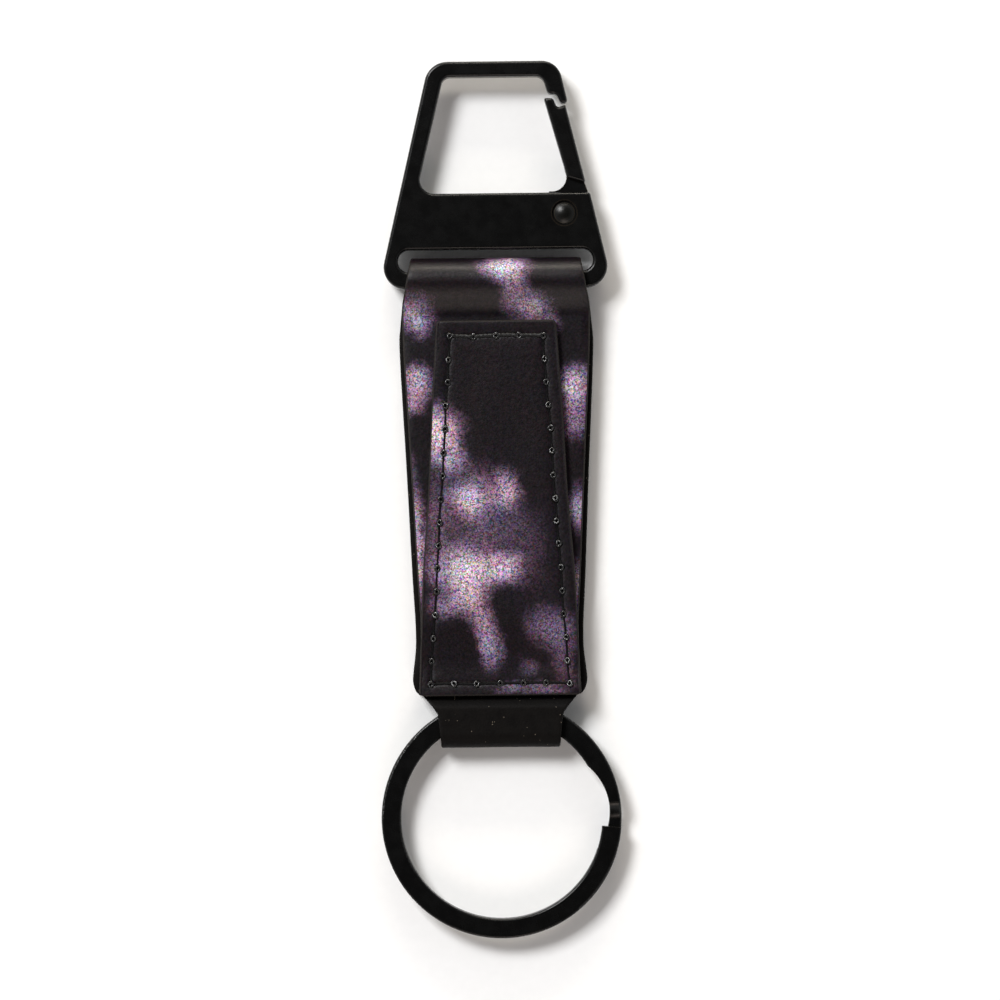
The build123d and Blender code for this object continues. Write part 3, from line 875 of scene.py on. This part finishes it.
def coated_metal(name, dark, worn_and_highlit, low_gloss, high_gloss, edge_size, wear_and_highlight):
    """Satin black coating, a little thinner and browner along the edges: the brown rims are partly wear of
    the coating and partly a painted highlight.
    """
    t = Tree(name)
    at = object_place(t)
    cloud = t.noise(at, 0.5, 4.0, 0.6)
    powder = t.noise(at, 9.0, 3.0, 0.6)
    soft_corner = t.add("ShaderNodeBevel", samples=4)
    soft_corner.inputs["Radius"].default_value = edge_size * MM
    geometry = t.add("ShaderNodeNewGeometry")
    flatness = t.vector("DOT_PRODUCT", soft_corner.outputs[0], geometry.outputs["True Normal"])
    # Rim mask from the bevel: worn, browner coating there, which also serves as a painted highlight on the
    # rims.
    rubbed_and_highlit = t.remap(t.math("ADD", flatness, t.math("MULTIPLY", cloud, 0.06)), 0.93, 1.0, 1.0, 0.0, soft=True)
    rubbed_and_highlit = t.math("MULTIPLY", rubbed_and_highlit, wear_and_highlight)
    colour = t.colours(cloud, (0.3, dark), (0.7, lighter(dark, 1.5)))
    colour = t.mix(t.remap(powder, 0.35, 0.75, 0.0, 0.35), colour, lighter(dark, 2.6))
    # Brown rims: worn coating, and partly a painted highlight.
    colour = t.mix(rubbed_and_highlit, colour, worn_and_highlit)
    scratches = t.noise(t.vector("MULTIPLY", at, (0.7, 6.0, 0.7)), 1.2, 3.0, 0.6)
    height = t.math("ADD", t.math("MULTIPLY", powder, 0.8), t.math("MULTIPLY", scratches, 0.25))
    normal = t.bump(height, 0.25, 0.03 * MM)
    gloss = t.remap(t.math("ADD", cloud, t.math("MULTIPLY", powder, 0.3)), 0.45, 0.85, low_gloss, high_gloss)
    gloss = t.math("SUBTRACT", gloss, t.math("MULTIPLY", rubbed_and_highlit, 0.1))
    return t.finish(colour, gloss, normal, Specular_IOR_Level=0.3)


def spring_steel():
    t = Tree("spring_steel")
    at = object_place(t)
    drawn = t.noise(t.vector("MULTIPLY", at, (1.0, 1.0, 5.0)), 3.0, 3.0, 0.6)
    colour = t.colours(drawn, (0.3, srgb(120, 118, 115)), (0.7, srgb(175, 172, 168)))
    normal = t.bump(drawn, 0.2, 0.02 * MM)
    gloss = t.remap(drawn, 0.3, 0.7, 0.22, 0.38)
    return t.finish(colour, gloss, normal, Metallic=1.0)


# ---- Build the object ----
def put_material(obj, material):
    obj.data.materials.clear()
    obj.data.materials.append(material)


def front_y_of_panel(t, along):
    return along


def front_y_of_strap(t, along):
    """The front leg is measured on from the fold, so its y runs the other way."""
    return t.math("SUBTRACT", 2 * FOLD_Y + FOLD_OUTER * math.pi, along)


def make_leather():
    panel = make_front_panel()
    put_material(panel, printed_leather("printed_panel_leather", PANEL_CLOUDS, front_y_of_panel))
    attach(panel, "strap")
    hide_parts("front_panel")

    strap = make_printed_strap()
    put_material(strap, printed_leather("printed_strap_leather", STRAP_CLOUDS, front_y_of_strap))
    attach(strap, "strap")
    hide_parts("clip_strap")

    black = make_black_strap()
    put_material(black, black_leather())
    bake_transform(black)
    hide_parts("lining_back", "lining_front", "neck_back", "neck_front", "ring_loop")


def make_sewing():
    material = waxed_thread()
    front = make_thread("front_stitches", panel_top, 1.0, 21)
    back = make_thread("back_stitches", lambda y: np.full(len(y), 0.2), -1.0, 22)
    for piece in (front, back):
        put_material(piece, material)
        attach(piece, "strap")
    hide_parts("sewing_thread")


def make_gate_spring():
    """Hairpin spring in the plate's pocket. One leg bears on the gate and the other on the pocket's wall."""
    upper = np.array([6.7, 38.68])
    corner = np.array([4.2, 37.5])
    lower = np.array([7.6, 35.08])
    arrive = corner + 0.7 * (upper - corner) / np.linalg.norm(upper - corner)
    leave = corner + 0.7 * (lower - corner) / np.linalg.norm(lower - corner)
    straight = np.linspace(0, 1, 9)[:-1, None]
    bend = np.linspace(0, 1, 9)[:, None]
    path = np.vstack([
        upper + straight * (arrive - upper),
        (1 - bend) ** 2 * arrive + 2 * bend * (1 - bend) * corner + bend ** 2 * leave,
        (lower + straight * (leave - lower))[::-1],
    ])
    path = np.column_stack([path, np.full(len(path), CLIP_Z)])
    points, faces = tube(path, np.full(len(path), SPRING_RADIUS), 14, 0, 0.0)
    spring = make_mesh("hairpin_spring", points, faces)
    put_material(spring, spring_steel())
    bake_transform(spring)
    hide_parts("gate_spring")


def finish_metal():
    # The second colour of each is the brown of the rims: partly worn coating, partly a painted highlight.
    clip = coated_metal("clip_coating", srgb(3, 3, 3), srgb(70, 60, 48), 0.24, 0.3, 0.25, 0.25)
    rivet = coated_metal("rivet_steel", srgb(7, 7, 6), srgb(82, 74, 62), 0.26, 0.34, 0.15, 0.3)
    ring = coated_metal("ring_coating", srgb(3, 3, 3), srgb(64, 58, 52), 0.24, 0.3, 0.2, 0.2)
    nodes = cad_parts
    put_material(nodes["clip_frame"], clip)
    put_material(nodes["clip_gate"], clip)
    put_material(nodes["gate_rivet"], rivet)
    put_material(nodes["split_ring"], ring)


# ---- Studio ----
def make_floor():
    side = 3.0
    count = 24
    line = np.linspace(-side / 2, side / 2, count + 1)
    points = [(x, y, 0.0) for y in line for x in line]
    faces = []
    for j in range(count):
        for k in range(count):
            corner = j * (count + 1) + k
            faces.append((corner, corner + 1, corner + count + 2, corner + count + 1))
    mesh = bpy.data.meshes.new("floor")
    mesh.from_pydata(points, [], faces)
    floor = bpy.data.objects.new("floor", mesh)
    bpy.context.scene.collection.objects.link(floor)
    t = Tree("floor_paper")
    tooth = t.noise(object_place(t), 0.8, 3.0)
    colour = t.colours(tooth, (0.3, srgb(246, 246, 246)), (0.7, srgb(248, 248, 248)))
    put_material(floor, t.finish(colour, 0.9, t.bump(tooth, 0.01, 0.01 * MM), Specular_IOR_Level=0.1))


def softbox(name, azimuth, elevation, distance, size, power, colour):
    """A rectangular lamp that faces the object. Azimuth is where it stands, anticlockwise from +X."""
    data = bpy.data.lights.new(name, "AREA")
    data.shape = "RECTANGLE"
    data.size, data.size_y = size
    data.energy = power
    data.color = colour
    lamp = bpy.data.objects.new(name, data)
    bpy.context.scene.collection.objects.link(lamp)
    a, e = math.radians(azimuth), math.radians(elevation)
    lamp.location = (distance * math.cos(a) * math.cos(e), distance * math.sin(a) * math.cos(e),
                     distance * math.sin(e))
    lamp.rotation_euler = (math.pi / 2 - e, 0, a + math.pi / 2)
    return lamp


def make_world():
    """Pale walls all round and a dark ceiling, which keeps flat black parts black from above."""
    world = bpy.data.worlds.new("studio")
    bpy.context.scene.world = world
    world.use_nodes = True
    tree = world.node_tree
    tree.nodes.clear()
    place = tree.nodes.new("ShaderNodeTexCoord")
    split = tree.nodes.new("ShaderNodeSeparateXYZ")
    shade = tree.nodes.new("ShaderNodeValToRGB")
    light = tree.nodes.new("ShaderNodeBackground")
    out = tree.nodes.new("ShaderNodeOutputWorld")
    stops = shade.color_ramp.elements
    stops[0].position, stops[0].color = 0.0, (0.9, 0.9, 0.9, 1.0)
    stops[1].position, stops[1].color = 1.0, (0.03, 0.03, 0.03, 1.0)
    for height, level in ((0.12, 0.85), (0.22, 0.6), (0.6, 0.58), (0.8, 0.05)):
        stop = stops.new(height)
        stop.color = (level, level, level, 1.0)
    tree.links.new(place.outputs["Generated"], split.inputs[0])
    tree.links.new(split.outputs["Z"], shade.inputs["Fac"])
    tree.links.new(shade.outputs["Color"], light.inputs["Color"])
    tree.links.new(light.outputs[0], out.inputs["Surface"])


def make_camera():
    """Straight above, with the strap turned a little anticlockwise in the picture."""
    data = bpy.data.cameras.new("camera")
    data.lens = 200
    data.clip_start = 0.02
    camera = bpy.data.objects.new("camera", data)
    bpy.context.scene.collection.objects.link(camera)
    picture_width = 133.3 * MM
    outline_height = 3.0 * MM
    distance = picture_width * data.lens / data.sensor_width
    camera.location = (0.25 * MM, 0.0, outline_height + distance)
    camera.rotation_euler = (0, 0, math.radians(-0.65))
    bpy.context.scene.camera = camera


make_leather()
make_sewing()
make_gate_spring()
finish_metal()
make_floor()
make_world()
make_camera()
softbox("key", 131, 50, 1.6, (0.5, 0.5), 23.5, (1.0, 1.0, 1.0))
softbox("top_edge", 90, 21, 0.6, (0.3, 0.07), 1.5, (1.0, 0.93, 0.8))
softbox("low_fill", -90, 42, 0.8, (0.4, 0.3), 0.9, (1.0, 0.84, 0.74))
bpy.context.scene.view_settings.view_transform = "Standard"
